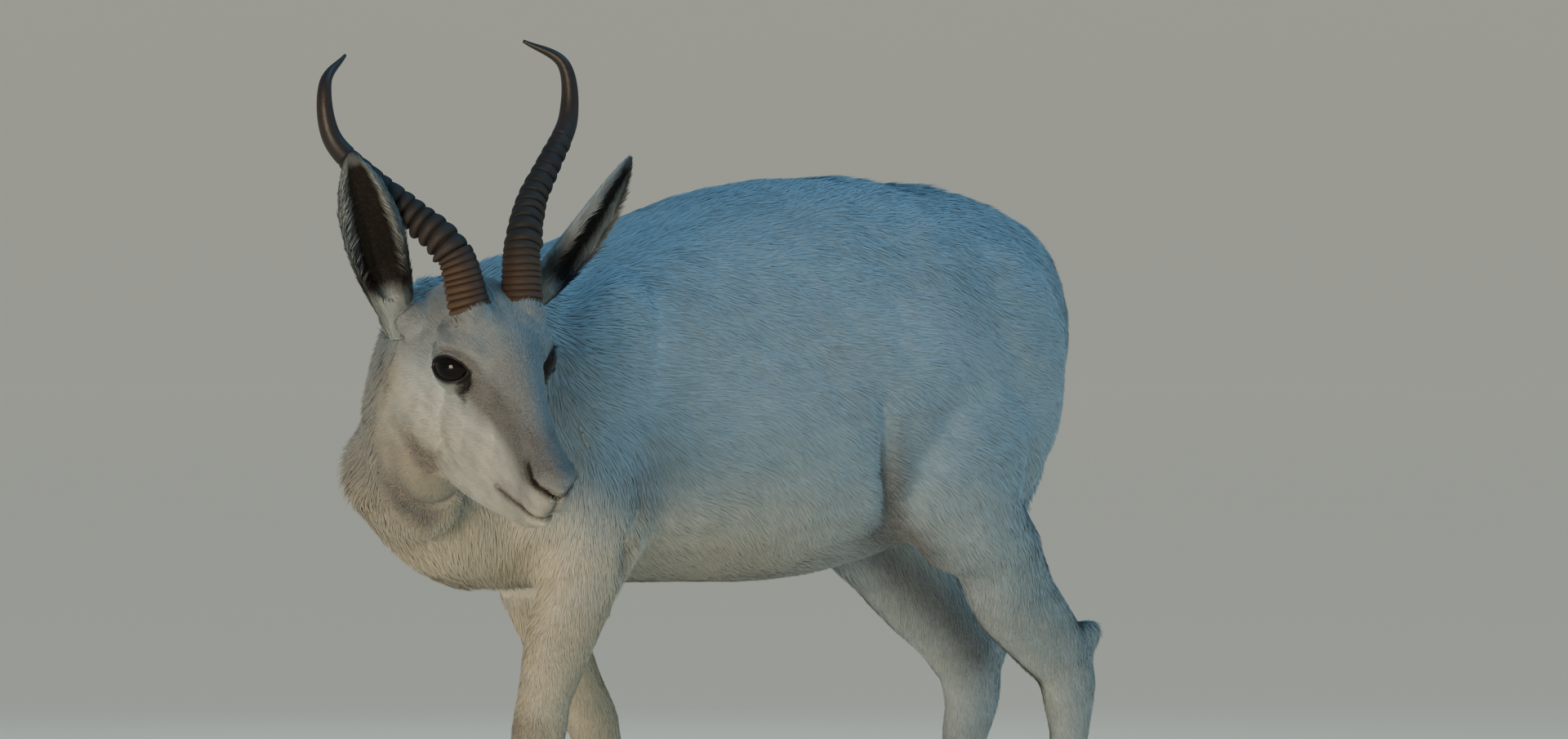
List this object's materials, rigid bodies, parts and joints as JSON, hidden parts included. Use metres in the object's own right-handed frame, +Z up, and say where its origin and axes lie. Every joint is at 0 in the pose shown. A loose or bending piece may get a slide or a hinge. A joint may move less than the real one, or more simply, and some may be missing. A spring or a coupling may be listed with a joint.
{
  "type": "springbok",
  "caption": "Life-size standing white springbok ram with ringed horns, its head turned back over its left shoulder.",
  "frame": {"origin": "on the floor, below the middle of the animal's box", "axes": "-X the way the body faces, +Y the animal's right side, +Z up; the head is turned to -Y"},
  "size_m": [1.0466, 0.4964, 0.9451],
  "materials": {
    "coat": "short white to cream hair over hide",
    "horn": "ringed horn, brown at the base, smooth and near black at the tip",
    "hoof": "dark polished hoof",
    "eye": "wet black-brown eye"
  },
  "bodies": {
    "root": {"torso": "coat", "neck": "coat", "head": "coat", "tail": "coat", "ear_left": "coat", "ear_right": "coat", "horn_left": "horn", "horn_right": "horn", "eye_left": "eye", "eye_right": "eye", "foreleg_left_upper": "coat", "foreleg_left_lower": "coat", "foreleg_right_upper": "coat", "foreleg_right_lower": "coat", "hindleg_left_upper": "coat", "hindleg_left_lower": "coat", "hindleg_right_upper": "coat", "hindleg_right_lower": "coat", "hoof_foreleg_left_inner": "hoof", "hoof_foreleg_left_outer": "hoof", "hoof_foreleg_right_inner": "hoof", "hoof_foreleg_right_outer": "hoof", "hoof_hindleg_left_inner": "hoof", "hoof_hindleg_left_outer": "hoof", "hoof_hindleg_right_inner": "hoof", "hoof_hindleg_right_outer": "hoof"}
  },
  "joints": []
}
